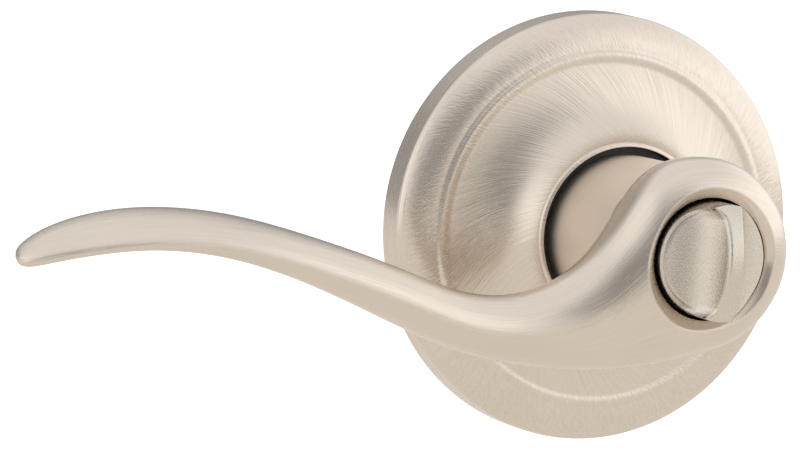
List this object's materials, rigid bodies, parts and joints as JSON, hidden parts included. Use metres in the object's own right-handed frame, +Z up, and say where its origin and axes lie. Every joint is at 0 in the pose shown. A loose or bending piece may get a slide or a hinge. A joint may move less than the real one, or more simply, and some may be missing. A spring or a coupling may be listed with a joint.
{
  "type": "door lever handle",
  "caption": "Wave-shaped door lever with a round stepped rose, a matt neck and a privacy turn button in the lever head; inside half of a lever set.",
  "frame": {"origin": "on the spindle axis at the door face, which is the back plane of the rose and of the mounting plate", "axes": "+Y along the spindle into the door, +Z up, -X towards the tip of the lever"},
  "size_m": [0.1612, 0.1278, 0.0806],
  "materials": {
    "satin_nickel_brushed": "satin nickel plate, brushed round the rose",
    "satin_nickel_brushed_lever": "satin nickel plate on zinc, brushed along the lever",
    "satin_nickel_matt": "satin nickel plate, fine matt grain",
    "satin_nickel_blasted": "satin nickel plate, bead blasted",
    "zinc_plated_steel": "pressed steel, zinc plated",
    "bright_steel": "bright steel",
    "spring_steel": "oiled spring steel",
    "black_nylon": "moulded black nylon",
    "screw_steel": "zinc plated screw steel",
    "black_oxide_steel": "black oxide steel",
    "machined_steel": "turned and milled steel",
    "white_acetal": "moulded white acetal"
  },
  "bodies": {
    "trim": {"rose_cover": "satin_nickel_brushed", "mounting_plate": "zinc_plated_steel", "spring_housing": "zinc_plated_steel", "housing_cover": "zinc_plated_steel", "housing_rivets": "bright_steel", "rose_clips": "spring_steel", "clip_rivets": "bright_steel", "return_spring": "spring_steel", "bearing_bush": "black_nylon", "mounting_screws": "screw_steel"},
    "lever": {"lever_handle": "satin_nickel_brushed_lever", "neck_sleeve": "satin_nickel_matt", "set_screw": "black_oxide_steel", "drive_hub": "machined_steel", "spring_cam": "machined_steel", "thrust_washer": "bright_steel", "retaining_ring": "black_oxide_steel", "latch_spindle": "zinc_plated_steel", "spindle_pin": "bright_steel", "button_bush": "white_acetal", "wave_washer": "spring_steel"},
    "button": {"turn_button": "satin_nickel_blasted", "button_stem": "machined_steel", "torque_blade": "zinc_plated_steel", "stem_pin": "bright_steel", "button_clip": "spring_steel"}
  },
  "joints": [
    {"name": "lever_turn", "type": "hinge", "parent": "trim", "child": "lever", "pos_m": [0, 0, 0], "axis": [0, 1, 0], "range_deg": [-50, 50], "stiffness_Nm_per_rad": 3, "deforming": ["return_spring"]},
    {"name": "button_turn", "type": "hinge", "parent": "lever", "child": "button", "pos_m": [0, 0, 0], "axis": [0, 1, 0], "range_deg": [0, 90]}
  ]
}
